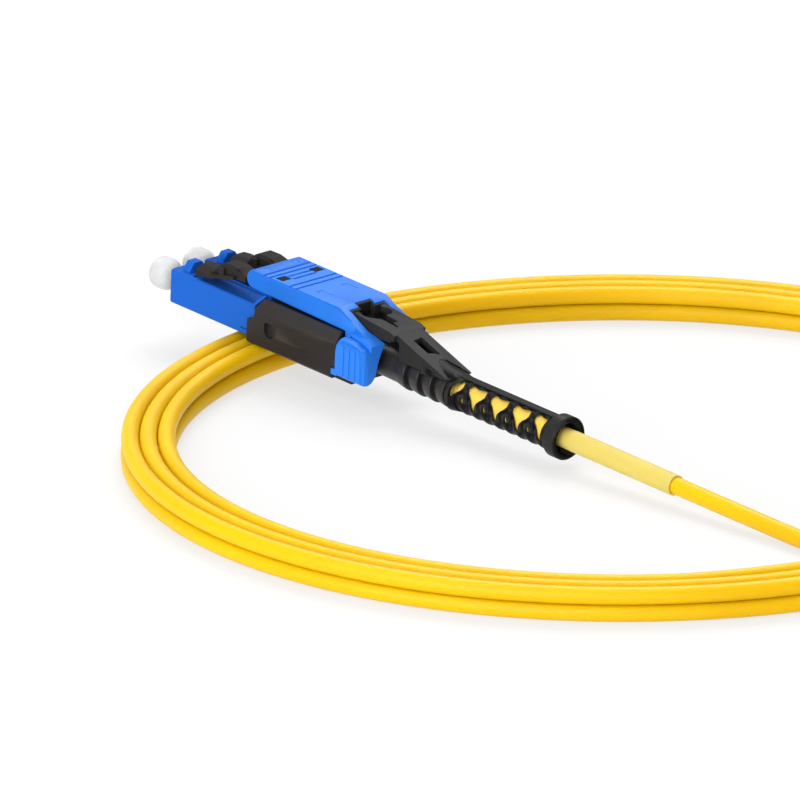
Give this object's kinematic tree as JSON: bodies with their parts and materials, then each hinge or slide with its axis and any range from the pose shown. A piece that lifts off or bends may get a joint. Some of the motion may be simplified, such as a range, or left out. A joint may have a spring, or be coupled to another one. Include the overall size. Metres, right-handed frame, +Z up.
{
  "type": "fibre optic patch cable",
  "caption": "Coiled yellow fibre optic patch cable with duplex plugs, a blue pull-back release cover and a black lattice boot at each end.",
  "frame": {"origin": "centre of the coil on the surface it lies on", "axes": "+Z up, the coil's axis; the picture looks along +Y from about 19 degrees above, with connector A at the left (-X) pointing away"},
  "size_m": [0.139, 0.1425, 0.0158],
  "materials": {
    "plug_blue": "moulded blue plastic",
    "cover_blue": "moulded blue plastic, fine satin",
    "latch_black": "satin black plastic",
    "shell_black": "satin black plastic",
    "lid_black": "satin black plastic",
    "boot_black": "satin black flexible plastic",
    "relief_black": "soft black",
    "ferrule_ceramic": "polished white ceramic",
    "flange_metal": "turned metal",
    "spring_steel": "drawn wire",
    "seat_plastic": "natural plastic",
    "fibre_buffer": "tight buffer",
    "cap_frosted": "frosted translucent plastic",
    "post_brass": "turned",
    "ring_metal": "crimped",
    "sleeve_yellow": "soft pale yellow tube",
    "cable_yellow": "smooth yellow cable jacket"
  },
  "bodies": {
    "cable": {"plug_housing_left_a": "plug_blue", "ferrule_spring_left_a": "spring_steel", "spring_seat_left_a": "seat_plastic", "fibre_left_a": "fibre_buffer", "plug_housing_right_a": "plug_blue", "ferrule_spring_right_a": "spring_steel", "spring_seat_right_a": "seat_plastic", "fibre_right_a": "fibre_buffer", "body_shell_a": "shell_black", "body_lid_a": "lid_black", "strain_relief_a": "relief_black", "crimp_post_a": "post_brass", "crimp_ring_a": "ring_metal", "sleeve_a": "sleeve_yellow", "cable_tail_a": "cable_yellow", "plug_housing_left_b": "plug_blue", "ferrule_spring_left_b": "spring_steel", "spring_seat_left_b": "seat_plastic", "fibre_left_b": "fibre_buffer", "plug_housing_right_b": "plug_blue", "ferrule_spring_right_b": "spring_steel", "spring_seat_right_b": "seat_plastic", "fibre_right_b": "fibre_buffer", "body_shell_b": "shell_black", "body_lid_b": "lid_black", "strain_relief_b": "relief_black", "crimp_post_b": "post_brass", "crimp_ring_b": "ring_metal", "sleeve_b": "sleeve_yellow", "cable_tail_b": "cable_yellow", "cable_coil": "cable_yellow", "cable_lead_a": "cable_yellow", "cable_lead_b": "cable_yellow"},
    "slider_a": {"release_cover_a": "cover_blue", "pull_boot_a": "boot_black"},
    "latch_left_a_body": {"latch_left_a": "latch_black"},
    "ferrule_left_a_body": {"ferrule_left_a": "ferrule_ceramic", "ferrule_flange_left_a": "flange_metal"},
    "cap_left_a": {"dust_cap_left_a": "cap_frosted"},
    "latch_right_a_body": {"latch_right_a": "latch_black"},
    "ferrule_right_a_body": {"ferrule_right_a": "ferrule_ceramic", "ferrule_flange_right_a": "flange_metal"},
    "cap_right_a": {"dust_cap_right_a": "cap_frosted"},
    "slider_b": {"release_cover_b": "cover_blue", "pull_boot_b": "boot_black"},
    "latch_left_b_body": {"latch_left_b": "latch_black"},
    "ferrule_left_b_body": {"ferrule_left_b": "ferrule_ceramic", "ferrule_flange_left_b": "flange_metal"},
    "cap_left_b": {"dust_cap_left_b": "cap_frosted"},
    "latch_right_b_body": {"latch_right_b": "latch_black"},
    "ferrule_right_b_body": {"ferrule_right_b": "ferrule_ceramic", "ferrule_flange_right_b": "flange_metal"},
    "cap_right_b": {"dust_cap_right_b": "cap_frosted"}
  },
  "joints": [
    {"name": "pull_a", "type": "slide", "parent": "cable", "child": "slider_a", "axis": [0.6705, -0.7394, -0.061], "range_m": [0, 0.0022], "stiffness_N_per_m": 500},
    {"name": "latch_left_a_bend", "type": "hinge", "parent": "cable", "child": "latch_left_a_body", "pos_m": [-0.05873, 0.04947, 0.01183], "axis": [0.7408, 0.6717, 0], "range_deg": [0, 3.5]},
    {"name": "ferrule_left_a_give", "type": "slide", "parent": "cable", "child": "ferrule_left_a_body", "axis": [0.6705, -0.7394, -0.061], "range_m": [0, 0.0008], "stiffness_N_per_m": 400, "deforming": ["ferrule_spring_left_a"]},
    {"name": "cap_left_a_off", "type": "slide", "parent": "cable", "child": "cap_left_a", "axis": [-0.6705, 0.7394, 0.061], "range_m": [0, 0.012]},
    {"name": "latch_right_a_bend", "type": "hinge", "parent": "cable", "child": "latch_right_a_body", "pos_m": [-0.0541, 0.05366, 0.01183], "axis": [0.7408, 0.6717, 0], "range_deg": [0, 3.5]},
    {"name": "ferrule_right_a_give", "type": "slide", "parent": "cable", "child": "ferrule_right_a_body", "axis": [0.6705, -0.7394, -0.061], "range_m": [0, 0.0008], "stiffness_N_per_m": 400, "deforming": ["ferrule_spring_right_a"]},
    {"name": "cap_right_a_off", "type": "slide", "parent": "cable", "child": "cap_right_a", "axis": [-0.6705, 0.7394, 0.061], "range_m": [0, 0.012]},
    {"name": "pull_b", "type": "slide", "parent": "cable", "child": "slider_b", "axis": [0, -0.9986, -0.0523], "range_m": [0, 0.0022], "stiffness_N_per_m": 500},
    {"name": "latch_left_b_bend", "type": "hinge", "parent": "cable", "child": "latch_left_b_body", "pos_m": [0.04077, 0.06407, 0.01232], "axis": [1, 0, 0], "range_deg": [0, 3.5]},
    {"name": "ferrule_left_b_give", "type": "slide", "parent": "cable", "child": "ferrule_left_b_body", "axis": [0, -0.9986, -0.0523], "range_m": [0, 0.0008], "stiffness_N_per_m": 400, "deforming": ["ferrule_spring_left_b"]},
    {"name": "cap_left_b_off", "type": "slide", "parent": "cable", "child": "cap_left_b", "axis": [0, 0.9986, 0.0523], "range_m": [0, 0.012]},
    {"name": "latch_right_b_bend", "type": "hinge", "parent": "cable", "child": "latch_right_b_body", "pos_m": [0.04702, 0.06407, 0.01232], "axis": [1, 0, 0], "range_deg": [0, 3.5]},
    {"name": "ferrule_right_b_give", "type": "slide", "parent": "cable", "child": "ferrule_right_b_body", "axis": [0, -0.9986, -0.0523], "range_m": [0, 0.0008], "stiffness_N_per_m": 400, "deforming": ["ferrule_spring_right_b"]},
    {"name": "cap_right_b_off", "type": "slide", "parent": "cable", "child": "cap_right_b", "axis": [0, 0.9986, 0.0523], "range_m": [0, 0.012]}
  ],
  "couplings": [
    {"joint": "latch_left_a_bend", "follows": "pull_a", "rad_per_m": 27.7},
    {"joint": "latch_right_a_bend", "follows": "pull_a", "rad_per_m": 27.7},
    {"joint": "latch_left_b_bend", "follows": "pull_b", "rad_per_m": 27.7},
    {"joint": "latch_right_b_bend", "follows": "pull_b", "rad_per_m": 27.7}
  ]
}
